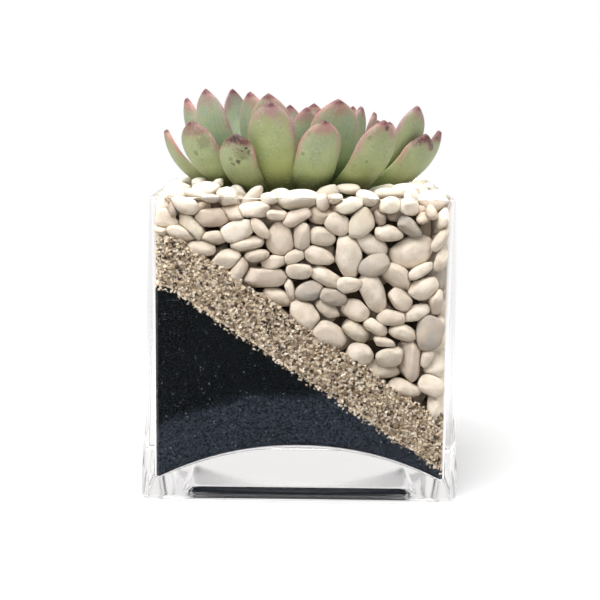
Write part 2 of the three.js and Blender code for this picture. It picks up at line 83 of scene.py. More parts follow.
# Sand layers
SAND_SLOPE = -0.665
BLACK_MIDDLE = 51.6
BLACK_CREST = 87.6
TAN_SLOPE = -0.69
TAN_MIDDLE = 71.3
TAN_CREST = 105.6
TAN_TOE = 34.2
SLOPE_SOFTNESS = 1.6
SAND_RIPPLE = 0.5
RIPPLE_WAVES = ((0.33, 0.12, 0), (0.16, -0.27, 1))
BANK_HALF = 70
BANK_STEPS = 60
BANK_FLOOR = -10

# Pebble heap: a low ring round the plant, a bowl under its leaves
HEAP_EDGE = 120.5
HEAP_RISE = 7.5
HEAP_POWER = 7
HEAP_SQUARENESS = 6
BOWL_DEPTH = 16
BOWL_RADIUS = 47
BOWL_POWER = 3
BED_CEILING = 130

# Pebbles at their true size: half lengths, then half widths and half thicknesses as shares of them
PEBBLE_SEED = 71
PEBBLE_LONG = (4.2, 7.6)
PEBBLE_LARGEST = 9.2
LARGEST_SHARE = 0.06
PEBBLE_WIDE = (0.52, 0.8)
PEBBLE_FLAT = (0.38, 0.58)
LEVEL_SHARE = 0.65
LEVEL_LEAN = 40
EDGE_SHARE = 0.42
EDGE_TURN = (60, 90)
FLAT_TURN = 16
PEBBLE_TILT = 12
PEBBLE_ROW = 7.5
PEBBLE_STEP = 11.8
ROW_SHIFT = 0.3
PEBBLE_JITTER = 2
TOP_JITTER = 4
WALL_ROOM = 4
TOP_ROOM = 7
PEBBLE_BEHIND = (-6, 2.5)  # below 0 it lies right at the glass
SECOND_DEPTH = 5.5  # of the second layer, behind the first
BARE_RADIUS = 24
RELAX_PASSES = 160
PAIRS_KEPT = 6  # passes with the same list of neighbours
PAIR_MARGIN = 1
PUSH_SHARE = 0.4
SAND_REST = 0.7
FRONT_DETAIL = 9
BACK_DETAIL = 5
CONTACT_GAP = 0.1
PEBBLE_FULLNESS = (2, 2.8)
EGG_TAPER = 0.22
PEBBLE_BEND = 0.16
BEND_MIDDLE = 0.4
FLAT_PLACES = 6
FLAT_FACING = (0.6, 1, 1)  # mostly away from the ends
FLAT_CUT = (0.7, 0.92)
FLAT_SHARE = 0.7
LUMPS = 3
LUMP_SIZE = 0.035
LUMP_WAVE = 1.7
GREY_SHARE = 0.06
GREY_SPOTS = ((4.4, 89), (-0.6, 82), (11.3, 83.4), (27.4, 90.8), (41.5, 114.8), (51.7, 69))

# Grains of the tan sand that lie against the glass
GRAIN_SEED = 5
GRAIN_CELL = 0.82
GRAIN_HALF = (0.38, 0.74)
GRAIN_WIDE = (0.65, 1)
GRAIN_DEPTH = 0.9
GRAIN_JITTER = 0.42
GRAIN_SPILL = 0.35
GRAIN_OVER = 0.6
GRAIN_FLOOR = 1  # the lowest grains lie so far above the vase's floor
STRAY_REACH = 3  # tan grains strewn so far down into the black sand

# Core behind the pebbles, and the soil plug under the plant
CORE_INSET = 11
CORE_DEPTH = 7
PLUG_TOP = 109
PLUG_BOTTOM = 78
PLUG_TOP_RADIUS = 23
PLUG_BOTTOM_RADIUS = 18
HOLE_RADIUS = 5
TURNED_SIDES = 24

# Rosette: leaves on a golden-angle spiral; pairs give the outermost and the middle leaf
LEAF_SEED = 12
LEAF_COUNT = 43
FIRST_LEAF_TURN = -10
GOLDEN_ANGLE = 137.508
LEAF_REACH = (56, 4)
REACH_POWER = 0.75
TIP_HEIGHT = 149
TIP_RISE = 9
LEAF_WIDTH = (18, 8)
WIDTH_POWER = 1.5
WIDTH_SWELL = 2
LEAF_THICKNESS = (6.4, 4)
STEM_RADIUS = 4.8
STEM_BOTTOM = 86
STEM_TOP = 130
STEM_POINT = 4
ROOT_RADIUS = 2.5
ROOT_HEIGHT = (114, 124)
KNEE_HEIGHT = (120, 130)
KNEE_INSET = (4, 1)

# One leaf: its outline and cross-section, as shares
LEAF_RINGS = 34
BACK_POINTS = 15
FRONT_POINTS = 11
BROADEST = 0.6
ROOT_WIDTH = 0.48
ARCH_POWER = 5.4
BACK_SHARE = 0.74
BACK_FULLNESS = (0.8, 0.3)
FULLNESS_POWER = 3
FRONT_SHARE = 0.1
CUP_SHARE = 0.16
RIM_THICKNESS = 0.35
MUCRO_START = 0.955
MUCRO_HALF = 0.45
MUCRO_TAPER = 0.6
MOST_BACK = 1.1
BACK_CURVE = (2.2, 0.6)
RIM_CURVE = (6, 0.5)
EDGE_WAVE = (0.15, 0.5)
EDGE_WAVES = 7
RING_SPREAD = 1.35
USUAL_SCORCH = 0.15

# Leaves seen from the front, by their place in the spiral: turn, reach, tip height, width, twist, sweep and
# scorch. None, and what a row leaves out, is as for the other leaves.
SEEN_LEAVES = {
    0: (338, 55, 146.5, None, 28, 0, 1),
    2: (255, 51, 159.5, 21, 0, -5),
    3: (None, None, 150),
    4: (184, 58.5, 146.5, None, -5),
    5: (305, 56, 152.5, 20, 0, -4),
    7: (241, 55, 146.5, 18, 0, -12, 1),
    8: (353, 58, 147.5, None, 8, 0, 0.8),
    10: (279, 53, 152.5, 17.5, 0, -7),
    11: (None, None, 154),
    12: (217, 57, 151, None, -18, -3, 0.5),
    13: (338, 51, 158, None, 24),
    15: (249, 40, 162.5, 20),
    16: (30, 38, 151),
    17: (181, 50, 160, None, -26),
    18: (293, 36, 160.5, 23),
    20: (226, 32, 163, 19),
    21: (345, 31, 155),
    22: (141, 41, 164, 18),
    23: (273, 25, 157),
    24: (48, 33, 157),
    25: (208, 46, 164, 17, -26),
}

# Directions out of the walls, along them, and out of the corner at the end of each
UP = np.array([0.0, 0.0, 1.0])
WALL_OUT = np.array([[0, -1, 0], [1, 0, 0], [0, 1, 0], [-1, 0, 0]], float)
WALL_LEVEL = np.roll(WALL_OUT, -1, axis=0)
CORNER_OUT = (WALL_OUT + WALL_LEVEL) / math.sqrt(2)
CORNER_CUT = CAVITY_CORNER * (math.sqrt(2) - 1)
WALL_NAMES = ("front", "right", "back", "left")
TOP = 4  # stands for the top of the heap where a wall is meant


def mix(start, end, share):
    return start + (end - start) * share


def unit(rows):
    return rows / np.linalg.norm(rows, axis=1)[:, None]


def soft_min(first, second, softness):
    return -softness * np.log(np.exp(-first / softness) + np.exp(-second / softness))


def ripple(x, y):
    return SAND_RIPPLE * sum(np.sin(right * x + back * y + start) for right, back, start in RIPPLE_WAVES)


def black_top(x, y):
    slope = soft_min(BLACK_MIDDLE + SAND_SLOPE * x, BLACK_CREST, SLOPE_SOFTNESS)
    return slope + 0.5 * ripple(x, y)


def tan_top(x, y):
    slope = soft_min(TAN_MIDDLE + TAN_SLOPE * x, TAN_CREST, SLOPE_SOFTNESS)
    return -soft_min(-slope, -TAN_TOE, SLOPE_SOFTNESS) + ripple(x, y)


def heap_top(x, y):
    across = np.abs(x) / CAVITY_TOP_HALF
    deep = np.abs(y) / CAVITY_TOP_HALF
    outward = (across**HEAP_SQUARENESS + deep**HEAP_SQUARENESS) ** (1 / HEAP_SQUARENESS)
    bowl = np.maximum(0, 1 - (np.hypot(x, y) / BOWL_RADIUS) ** BOWL_POWER)
    return HEAP_EDGE + HEAP_RISE * (1 - outward**HEAP_POWER) - BOWL_DEPTH * bowl


def cavity_half(z):
    return mix(CAVITY_LOW_HALF, CAVITY_TOP_HALF, (z - FLOOR_LOW) / (VASE_HEIGHT - FLOOR_LOW))


def floor_height(x, y):
    across = np.minimum(1, np.abs(x) / CAVITY_LOW_HALF)
    deep = np.minimum(1, np.abs(y) / CAVITY_LOW_HALF)
    return FLOOR_LOW + FLOOR_RISE * (1 - (across * deep) ** FLOOR_POWER)


# Meshes


def new_object(name, points, faces):
    mesh = bpy.data.meshes.new(name)
    mesh.from_pydata((np.asarray(points) * MM).tolist(), [], faces)
    mesh.validate()
    made = bpy.data.objects.new(name, mesh)
    bpy.context.scene.collection.objects.link(made)
    return made


def set_numbers(made, name, values):
    attribute = made.data.attributes.new(name, "FLOAT", "POINT")
    attribute.data.foreach_set("value", np.asarray(values, np.float32))


def dress(made, material, slot, *nodes):
    """Gives a piece its material, puts it on the body and hides the solids that it stands for."""
    made.data.materials.clear()
    made.data.materials.append(material)
    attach(made, "root")
    if nodes:
        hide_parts(*nodes)


def level_ring(half, corner, height):
    """Points anticlockwise round a level square with rounded corners."""
    straight = half - corner
    along = mix(-straight, straight, np.arange(1, SIDE_STEPS) / SIDE_STEPS)
    side = np.column_stack([along, np.full(len(along), -half)])
    angles = -math.pi / 2 + (math.pi / 2) * np.arange(CORNER_STEPS + 1) / CORNER_STEPS
    turn = np.column_stack([straight + corner * np.cos(angles), -straight + corner * np.sin(angles)])
    x, y = np.vstack([side, turn]).T
    around = np.hstack([[x, y], [-y, x], [-x, -y], [y, -x]])
    return np.column_stack([*around, np.full(len(around[0]), float(height))])


def joined(parts):
    """Points and faces of several meshes, as one."""
    faces = []
    start = 0
    for points, part_faces in parts:
        faces.extend([start + corner for corner in face] for face in part_faces)
        start += len(points)
    return np.vstack([points for points, _ in parts]), faces


def turned_outward(points, faces):
    """The faces, flipped if they enclose a negative volume."""
    volume = 0.0
    for face in faces:
        for second, third in zip(face[1:], face[2:]):
            volume += np.dot(points[face[0]], np.cross(points[second], points[third]))
    return faces if volume > 0 else [face[::-1] for face in faces]


def loft(rings):
    """Points and faces of a closed skin over rings of points; a ring of one point closes an end."""
    faces = []
    start = 0
    for lower, upper in zip(rings, rings[1:]):
        high = start + len(lower)
        count = max(len(lower), len(upper))
        for step in range(count):
            after = (step + 1) % count
            if len(lower) == 1:
                faces.append((start, high + after, high + step))
            elif len(upper) == 1:
                faces.append((start + step, start + after, high))
            else:
                faces.append((start + step, start + after, high + after, high + step))
        start = high
    points = np.vstack(rings)
    return points, turned_outward(points, faces)


def even_normals(made):
    """Lets large flat faces keep their own direction where they meet narrow rounded ones."""
    mesh = made.data
    totals = np.zeros((len(mesh.vertices), 3))
    for face in mesh.polygons:
        for corner in face.vertices:
            totals[corner] += np.array(face.normal) * face.area**1.5
    mesh.normals_split_custom_set_from_vertices(unit(totals).tolist())


def combined(body, tool, operation):
    """The body after a cut by a tool, which is dropped."""
    modifier = body.modifiers.new("cut", "BOOLEAN")
    modifier.operation = operation
    modifier.solver = "MANIFOLD"
    modifier.object = tool
    graph = bpy.context.evaluated_depsgraph_get()
    body.data = bpy.data.meshes.new_from_object(body.evaluated_get(graph))
    body.modifiers.clear()
    bpy.data.objects.remove(tool)
    return body


# Vase and its filling

QUARTER = [(math.pi / 2) * (step / ROUND_STEPS) for step in range(ROUND_STEPS + 1)]
ROUND = [(math.sin(angle), math.cos(angle)) for angle in QUARTER]


def cavity_floor_rings(inset):
    half = CAVITY_LOW_HALF - inset
    corner = max(LEAST_CORNER, CAVITY_CORNER - inset)
    rings = []
    for rise, run in reversed(ROUND):
        inner = half - FLOOR_ROUND * (1 - rise)
        rings.append(level_ring(inner, corner, inset + FLOOR_ROUND * (1 - run)))
    for step in range(FLOOR_RINGS - 1, 0, -1):
        share = step / FLOOR_RINGS
        rings.append(level_ring(half - FLOOR_ROUND, corner, inset) * [share, share, 1])
    rings.append(np.array([[0.0, 0.0, inset]]))
    for ring in rings:
        ring[:, 2] += floor_height(ring[:, 0], ring[:, 1])
    return rings


def vase_rings():
    rings = [np.array([[0, 0, RECESS_DEPTH]])]
    for rise, run in ROUND:
        half = RECESS_HALF - RECESS_ROUND * (1 - rise)
        rings.append(level_ring(half, OUTER_CORNER, mix(RECESS_EDGE, RECESS_DEPTH, run)))
    rings.append(level_ring(FOOT_INNER_HALF, OUTER_CORNER, 0))
    for rise, run in ROUND:
        rings.append(level_ring(BASE_HALF - FOOT_ROUND * (1 - rise), OUTER_CORNER, FOOT_ROUND * (1 - run)))
    rim = [(RIM_ROUND * (1 - run), VASE_HEIGHT - RIM_ROUND * (1 - rise)) for rise, run in ROUND]
    rings += [level_ring(RIM_HALF - inward, OUTER_CORNER, height) for inward, height in rim]
    rings += [level_ring(CAVITY_TOP_HALF + outward, CAVITY_CORNER, height) for outward, height in rim[::-1]]
    return rings + cavity_floor_rings(0)


def make_vase():
    vase = new_object("vase", *loft(vase_rings()))
    vase.data.shade_smooth()
    even_normals(vase)
    return vase


def cavity_body(name, inset):
    """The space inside the vase, shrunk by an inset and going on above the rim."""
    corner = max(LEAST_CORNER, CAVITY_CORNER - inset)
    rings = [np.array([[0, 0, BED_CEILING]]), level_ring(CAVITY_TOP_HALF - inset, corner, BED_CEILING)]
    return new_object(name, *loft(rings + cavity_floor_rings(inset)))


def bank_body(height_at, lift=0):
    """Everything below a poured surface, wider than the vase, as upright slices from front to back."""
    edge = np.linspace(-BANK_HALF, BANK_HALF, BANK_STEPS + 1)
    slices = [np.array([[0, -BANK_HALF, 0]])]
    for y in edge:
        upper = np.column_stack([edge, np.full(len(edge), y), height_at(edge, y) + lift])
        slices.append(np.vstack([upper, (upper * [1, 1, 0] + [0, 0, BANK_FLOOR])[::-1]]))
    return new_object("bank", *loft(slices + [np.array([[0, BANK_HALF, 0]])]))


def turned(name, profile):
    """A closed body turned round the upright axis, from pairs of radius and height."""
    angles = np.linspace(0, 2 * math.pi, TURNED_SIDES, endpoint=False)
    rings = []
    for radius, height in profile:
        level = np.full(TURNED_SIDES, height)
        ring = np.column_stack([radius * np.cos(angles), radius * np.sin(angles), level])
        rings.append(ring if radius else ring[:1])
    return new_object(name, *loft(rings))


def root_pocket():
    """The space of the soil plug and the stem, with clearance."""
    low, high, throat = PLUG_BOTTOM - GAP, PLUG_TOP + GAP, HOLE_RADIUS + GAP
    plug = [(0, low), (PLUG_BOTTOM_RADIUS + GAP, low), (PLUG_TOP_RADIUS + GAP, high)]
    return turned("pocket", [*plug, (throat, high), (throat, BED_CEILING), (0, BED_CEILING)])


def filling(name, inset, upper, *holes):
    """What fills the vase up to a surface, less the holes."""
    body = combined(cavity_body(name, inset), upper, "INTERSECT")
    for hole in holes:
        combined(body, hole, "DIFFERENCE")
    return body


def make_black_sand():
    return filling("black_sand_body", GAP, bank_body(black_top))


def make_tan_sand():
    holes = bank_body(black_top, GAP), root_pocket()
    return filling("tan_sand_body", GAP + GRAIN_DEPTH, bank_body(tan_top), *holes)


def make_bed_core():
    holes = bank_body(tan_top, GAP), root_pocket()
    return filling("pebble_core", CORE_INSET, bank_body(heap_top, -CORE_DEPTH), *holes)


# Grains of tan sand

CORNER_ARC = CAVITY_CORNER * math.pi / 4  # round the corner to its middle


def wall_place(along, wall, half):
    """A place on a wall of the rounded square cavity, and the direction out of it there."""
    straight = half - CAVITY_CORNER
    angle = np.sign(along) * np.clip(np.abs(along) - straight, 0, CORNER_ARC) / CAVITY_CORNER
    flat = np.clip(along, -straight, straight)
    facing = np.outer(np.cos(angle), WALL_OUT[wall]) + np.outer(np.sin(angle), WALL_LEVEL[wall])
    start = np.outer(straight, WALL_OUT[wall]) + np.outer(flat, WALL_LEVEL[wall])
    return start + CAVITY_CORNER * facing, facing


def grain_places(wall, random):
    reach = CAVITY_LOW_HALF - CAVITY_CORNER + CORNER_ARC
    columns = np.arange(-reach, reach, GRAIN_CELL)
    rows = np.arange(FLOOR_LOW, TAN_CREST + 2 * GRAIN_CELL, GRAIN_CELL)
    along, height = (grid.ravel() for grid in np.meshgrid(columns, rows))
    along, height = (grid + random.uniform(-0.5, 0.5, len(grid)) * GRAIN_CELL for grid in (along, height))
    place, facing = wall_place(along, wall, cavity_half(height) - GAP)
    x, y = place[:, 0], place[:, 1]
    spill = random.normal(0, GRAIN_SPILL, len(x))
    low = np.maximum(black_top(x, y), floor_height(x, y) + GRAIN_FLOOR)
    inside = (height > low + spill) & (height < tan_top(x, y) + GRAIN_OVER + spill)
    place[:, 2] = height
    return place[inside], facing[inside]


CUBE_CORNERS = np.array(list(product((-1, 1), repeat=3)), float)
CUBE_FACES = np.array([[0, 1, 3, 2], [4, 6, 7, 5], [0, 4, 5, 1], [2, 3, 7, 6], [0, 2, 6, 4], [1, 5, 7, 3]])


def make_grains(wall):
    random = np.random.RandomState(GRAIN_SEED + wall)
    place, facing = grain_places(wall, random)
    count = len(place)
    corners = CUBE_CORNERS + random.uniform(-GRAIN_JITTER, GRAIN_JITTER, (count, 8, 3))
    corners *= random.uniform(*GRAIN_HALF, (count, 1, 1)) * random.uniform(*GRAIN_WIDE, (count, 1, 3))
    turns = [Quaternion(row).normalized().to_matrix() for row in random.normal(size=(count, 4))]
    corners = np.einsum("nij,nkj->nki", np.array(turns), corners)
    outermost = np.einsum("nki,ni->nk", corners, facing).max(axis=1)
    sunk = outermost + random.uniform(0, GRAIN_DEPTH, count)
    corners += (place - facing * sunk[:, None])[:, None, :]
    faces = (np.arange(count)[:, None, None] * 8 + CUBE_FACES).reshape(-1, 4)
    made = new_object("tan_grains_" + WALL_NAMES[wall], corners.reshape(-1, 3), faces.tolist())
    set_numbers(made, "tone", np.repeat(random.uniform(0, 1, count), 8))
    return made


# Pebbles


class Stones:
    """Places, half sizes and axes of the pebbles. Wall is 0 to 3, or TOP; depth is how far behind it."""

    def __init__(self, rows):
        self.centres, self.sizes, self.axes, self.wall, self.depth = map(np.array, zip(*rows))

    def shares(self, index, direction):
        axes = self.axes[index]
        return np.einsum("nij,nj->ni", axes, np.broadcast_to(direction, (len(axes), 3)))

    def reach(self, index, direction):
        """From the middle to the surface along a direction."""
        return 1 / np.linalg.norm(self.shares(index, direction) / self.sizes[index], axis=1)

    def extent(self, index, direction):
        """Half of the whole length along a direction."""
        return np.linalg.norm(self.shares(index, direction) * self.sizes[index], axis=1)

    def slope(self, index, points):
        """The direction out of a pebble at a point on it."""
        shares = self.shares(index, points - self.centres[index]) / self.sizes[index] ** 2
        return unit(np.einsum("nij,ni->nj", self.axes[index], shares))

    def apart(self, first, second):
        """Directions and distances from the first pebbles to the second."""
        steps = self.centres[second] - self.centres[first]
        return unit(steps), np.linalg.norm(steps, axis=1)


def pebble_sizes(random):
    half = random.uniform(*PEBBLE_LONG)
    if random.uniform() < LARGEST_SHARE:
        half = PEBBLE_LARGEST
    return np.array([half, half * random.uniform(*PEBBLE_WIDE), half * random.uniform(*PEBBLE_FLAT)])


def pebble_axes(random, facing, level):
    most = LEVEL_LEAN if random.uniform() < LEVEL_SHARE else 90
    lean = math.radians(random.uniform(-most, most))
    on_edge = random.uniform() < EDGE_SHARE
    turn = random.uniform(*EDGE_TURN) if on_edge else random.uniform(-FLAT_TURN, FLAT_TURN)
    tilt = Quaternion(facing.cross(level), math.radians(random.uniform(-PEBBLE_TILT, PEBBLE_TILT)))
    long = Quaternion(facing, lean) @ level
    flat = tilt @ (Quaternion(long, math.radians(turn)) @ facing)
    long = tilt @ long
    return np.array([long, flat.cross(long), flat])


def scatter_wall(random, wall, depth):
    out, level = Vector(WALL_OUT[wall]), Vector(WALL_LEVEL[wall])
    span = CAVITY_TOP_HALF - WALL_ROOM - depth
    first = HEAP_EDGE - PEBBLE_JITTER
    rows = int((HEAP_EDGE - TAN_TOE) / PEBBLE_ROW) + 1
    for row in range(rows):
        start = -span + (row % 2 + random.uniform(0, ROW_SHIFT)) * 0.5 * PEBBLE_STEP
        for along in np.arange(start, span, PEBBLE_STEP):
            centre = out * span + level * (along + random.uniform(-PEBBLE_JITTER, PEBBLE_JITTER))
            centre.z = first - row * PEBBLE_ROW + random.uniform(-PEBBLE_JITTER, PEBBLE_JITTER)
            behind = depth + max(0, random.uniform(*PEBBLE_BEHIND))
            sizes = pebble_sizes(random)
            axes = pebble_axes(random, out, level)
            if centre.z > tan_top(centre.x, centre.y):
                yield centre, sizes, axes, wall, behind


def scatter_top(random, depth):
    span = CAVITY_TOP_HALF - TOP_ROOM
    for row in np.arange(-span, span + 1, PEBBLE_ROW):
        for column in np.arange(-span, span + 1, PEBBLE_STEP):
            x = column + random.uniform(-TOP_JITTER, TOP_JITTER)
            y = row + random.uniform(-PEBBLE_JITTER, PEBBLE_JITTER)
            angle = random.uniform(0, math.pi)
            sizes = pebble_sizes(random)
            axes = pebble_axes(random, Vector(UP), Vector((math.cos(angle), math.sin(angle), 0)))
            if math.hypot(x, y) > BARE_RADIUS:
                yield (x, y, HEAP_EDGE), sizes, axes, TOP, depth


def side_limits(z):
    """For walls and corners: the wall's number or -1, the direction out and how far it goes at a height."""
    half = cavity_half(z) - GAP
    for wall, out in enumerate(WALL_OUT):
        yield wall, out, half
    for out in CORNER_OUT:
        yield -1, out, half * math.sqrt(2) - CORNER_CUT


def hold(stones):
    """Keeps the pebbles inside the vase, off the soil, above the sand and below the heap's surface."""
    every = slice(None)
    centres = stones.centres
    tall = stones.extent(every, UP)
    low = tan_top(centres[:, 0], centres[:, 1]) + SAND_REST * tall
    on_top = stones.wall == TOP
    high = heap_top(centres[:, 0], centres[:, 1]) - tall - np.where(on_top, stones.depth, 0)
    centres[:, 2] = np.where(on_top, high, np.maximum(low, np.minimum(high, centres[:, 2])))
    away = unit(centres * [1, 1, 0])
    short = np.maximum(0, PLUG_TOP_RADIUS + stones.extent(every, away) - np.hypot(*centres.T[:2]))
    centres += np.where(centres[:, 2] - tall < PLUG_TOP, short, 0)[:, None] * away
    for wall, out, limit in side_limits(centres[:, 2]):
        mine = stones.wall == wall
        beyond = centres @ out - (limit - stones.extent(every, out) - np.where(mine, stones.depth, 0))
        flush = mine & (stones.depth < SECOND_DEPTH)
        centres -= np.where(flush | (beyond > 0), beyond, 0)[:, None] * out


def near_pairs(stones):
    steps = stones.centres[:, None, :] - stones.centres[None, :, :]
    distance = np.linalg.norm(steps, axis=2)
    largest = stones.sizes[:, 0]
    close = distance < largest[:, None] + largest[None, :] + PAIR_MARGIN
    return np.nonzero(np.triu(close, 1))


def relax(stones):
    for step in range(RELAX_PASSES):
        if step % PAIRS_KEPT == 0:
            first, second = near_pairs(stones)
        away, distance = stones.apart(first, second)
        room = stones.reach(first, away) + stones.reach(second, away)
        room += stones.extent(first, away) + stones.extent(second, away)
        overlap = np.maximum(0, 0.5 * room - distance)
        push = PUSH_SHARE * overlap[:, None] * away
        np.add.at(stones.centres, first, -push)
        np.add.at(stones.centres, second, push)
        hold(stones)


def unit_ball(detail):
    """Points and quads of a cube's grid blown up to a ball."""
    ticks = np.tan(np.linspace(-math.pi / 4, math.pi / 4, detail + 1))
    known, faces = {}, []
    for axis, sign in product(range(3), (-1, 1)):
        grid = {}
        for (i, u), (j, v) in product(enumerate(ticks), repeat=2):
            point = np.roll([sign, u, sign * v], axis)
            grid[i, j], _ = known.setdefault(tuple(np.round(point, 6)), (len(known), point))
        for i, j in product(range(detail), repeat=2):
            faces.append((grid[i, j], grid[i + 1, j], grid[i + 1, j + 1], grid[i, j + 1]))
    return unit(np.array([point for _, point in known.values()])), np.array(faces)


def worn_shape(ball, random):
    """A ball worn into a pebble: fuller than an egg, one end larger, a few flat places, gentle lumps."""
    power = random.uniform(*PEBBLE_FULLNESS)
    points = ball / (np.abs(ball) ** power).sum(axis=1)[:, None] ** (1 / power)
    points[:, 1:] *= 1 + random.uniform(-EGG_TAPER, EGG_TAPER) * points[:, :1]
    points[:, 1] += random.uniform(-PEBBLE_BEND, PEBBLE_BEND) * (points[:, 0] ** 2 - BEND_MIDDLE)
    for _ in range(FLAT_PLACES):
        facing = random.normal(size=3) * FLAT_FACING
        facing /= np.linalg.norm(facing)
        along = points @ facing
        over = np.maximum(along - along.max() * random.uniform(*FLAT_CUT), 0)
        points -= FLAT_SHARE * over[:, None] * facing
    for _ in range(LUMPS):
        wave = points @ random.normal(0, LUMP_WAVE, 3) + random.uniform(0, 2 * math.pi)
        points *= 1 + LUMP_SIZE * np.sin(wave)[:, None]
    return points


def press_together(stones, shapes):
    """Flattens pebbles slightly where they would cross."""
    first, second = near_pairs(stones)
    away, distance = stones.apart(first, second)
    near, far = stones.reach(first, away), stones.reach(second, away)
    contact = stones.centres[first] + away * (near + 0.5 * (distance - near - far))[:, None]
    out = unit(stones.slope(first, contact) - stones.slope(second, contact))
    for *pair, spot, facing in zip(first, second, contact, out):
        for stone, outward in zip(pair, (facing, -facing)):
            over = np.maximum((shapes[stone] - spot) @ outward + CONTACT_GAP, 0)
            shapes[stone] -= over[:, None] * outward


def keep_inside(points):
    for _, out, limit in side_limits(points[:, 2]):
        over = np.maximum(points @ out - limit, 0)
        points -= over[:, None] * out
    return points


def place_pebbles():
    random = np.random.RandomState(PEBBLE_SEED)
    rows = []
    for depth in (0, SECOND_DEPTH):
        for wall in range(4):
            rows.extend(scatter_wall(random, wall, depth))
        rows.extend(scatter_top(random, depth))
    stones = Stones(rows)
    hold(stones)
    relax(stones)
    return stones


def grey_pebbles(stones, random):
    """Which pebbles are grey: a few at random, and those nearest to the grey ones seen in front."""
    grey = random.uniform(size=len(stones.wall)) < GREY_SHARE
    front = np.nonzero((stones.wall == 0) & (stones.depth < SECOND_DEPTH))[0]
    grey[front] = False
    for x, z in GREY_SPOTS:
        off = np.hypot(stones.centres[front, 0] - x, stones.centres[front, 2] - z)
        grey[front[np.argmin(off)]] = True
    return grey


def make_pebbles():
    stones = place_pebbles()
    random = np.random.RandomState(PEBBLE_SEED + 1)
    count = len(stones.wall)
    behind = stones.depth >= SECOND_DEPTH
    balls = {detail: unit_ball(detail) for detail in (FRONT_DETAIL, BACK_DETAIL)}
    details = np.where(behind, BACK_DETAIL, FRONT_DETAIL)
    shapes = []
    for index in range(count):
        worn = worn_shape(balls[details[index]][0], random) * stones.sizes[index]
        shapes.append(worn @ stones.axes[index] + stones.centres[index])
    press_together(stones, shapes)
    tones = random.uniform(size=count)
    grey = grey_pebbles(stones, random)
    for wall, name in enumerate(WALL_NAMES + ("top",)):
        mine = np.nonzero(stones.wall == wall)[0]
        parts = [(keep_inside(shapes[index]), balls[details[index]][1]) for index in mine]
        piece = new_object("pebbles_" + name, *joined(parts))
        lengths = [len(points) for points, _ in parts]
        # the last number marks the pebbles of the second layer, which are painted darker as painted shade
        for number, values in (("tone", tones), ("grey", grey), ("second_layer_shade", behind)):
            set_numbers(piece, number, np.repeat(values[mine], lengths))
        piece.data.shade_smooth()
        yield piece


# Rosette


def leaf_shape(index):
    share = index / (LEAF_COUNT - 1)
    swell = WIDTH_SWELL * math.sin(math.pi * min(1, 2 * share))
    rule = {
        "turn": FIRST_LEAF_TURN + GOLDEN_ANGLE * index,
        "reach": mix(LEAF_REACH[1], LEAF_REACH[0], (1 - share) ** REACH_POWER),
        "tip": TIP_HEIGHT + 4 * TIP_RISE * share * (1 - share),
        "width": mix(*LEAF_WIDTH, share**WIDTH_POWER) + swell,
        "twist": 0,
        "sweep": 0,
        "scorch": USUAL_SCORCH,
    }
    for name, value in zip(tuple(rule), SEEN_LEAVES.get(index, ())):
        rule[name] = rule[name] if value is None else value
    rule["share"] = share
    return rule


def leaf_middle(leaf, along):
    """A point of a leaf's middle line and the line's direction there, as distance out and height."""
    share, reach = leaf["share"], leaf["reach"]
    root = np.array([ROOT_RADIUS, mix(*ROOT_HEIGHT, share)])
    knee = np.array([reach - mix(*KNEE_INSET, share), mix(*KNEE_HEIGHT, share)])
    tip = np.array([reach, leaf["tip"]])
    spot = (1 - along) ** 2 * root + 2 * along * (1 - along) * knee + along**2 * tip
    tangent = 2 * (1 - along) * (knee - root) + 2 * along * (tip - knee)
    return spot, tangent / np.linalg.norm(tangent)


def leaf_outline(along):
    if along < BROADEST:
        return mix(ROOT_WIDTH, 1, math.sin((math.pi / 2) * (along / BROADEST)))
    return 1 - ((along - BROADEST) / (1 - BROADEST)) ** ARCH_POWER


def bulge(across, curve):
    return (1 - np.abs(across) ** curve[0]) ** curve[1]


def leaf_section(leaf, along, wave):
    """Points round a leaf: shares and distances across it, distances out, and 1 on the back, 0 in front."""
    half = 0.5 * leaf["width"] * leaf_outline(along)
    mucro = max(0, (along - MUCRO_START) / (1 - MUCRO_START))
    half = max(half, MUCRO_HALF * (1 - MUCRO_TAPER * mucro)) if mucro > 0 else half
    thickness = mix(*LEAF_THICKNESS, leaf["share"])
    back = BACK_SHARE * thickness * mix(*BACK_FULLNESS, along**FULLNESS_POWER)
    back = min(back, MOST_BACK * half)
    front = FRONT_SHARE * thickness
    cup = CUP_SHARE * half
    rim = min(RIM_THICKNESS, 0.5 * half)
    across = np.cos(np.linspace(math.pi, 0, BACK_POINTS))
    outer = -cup + (back + cup) * bulge(across, BACK_CURVE)
    inner_across = np.cos(np.linspace(0, math.pi, FRONT_POINTS))[1:-1]
    inner = -cup - rim * bulge(inner_across, RIM_CURVE) + max(0, cup - front + rim) * (1 - inner_across**2)
    shares = np.concatenate([across, inner_across])
    outs = np.concatenate([outer, inner]) + wave * np.abs(shares) ** 3
    sides = np.concatenate([np.ones(BACK_POINTS), np.zeros(FRONT_POINTS - 2)])
    return shares, half * shares, outs, sides


def leaf_heading(leaf, along):
    """Level directions out along a leaf and across it; one with a sweep bends sideways towards its tip."""
    turn = math.radians(leaf["turn"] + leaf["sweep"] * (1 - along))
    return np.array([math.cos(turn), math.sin(turn)]), np.array([-math.sin(turn), math.cos(turn)])


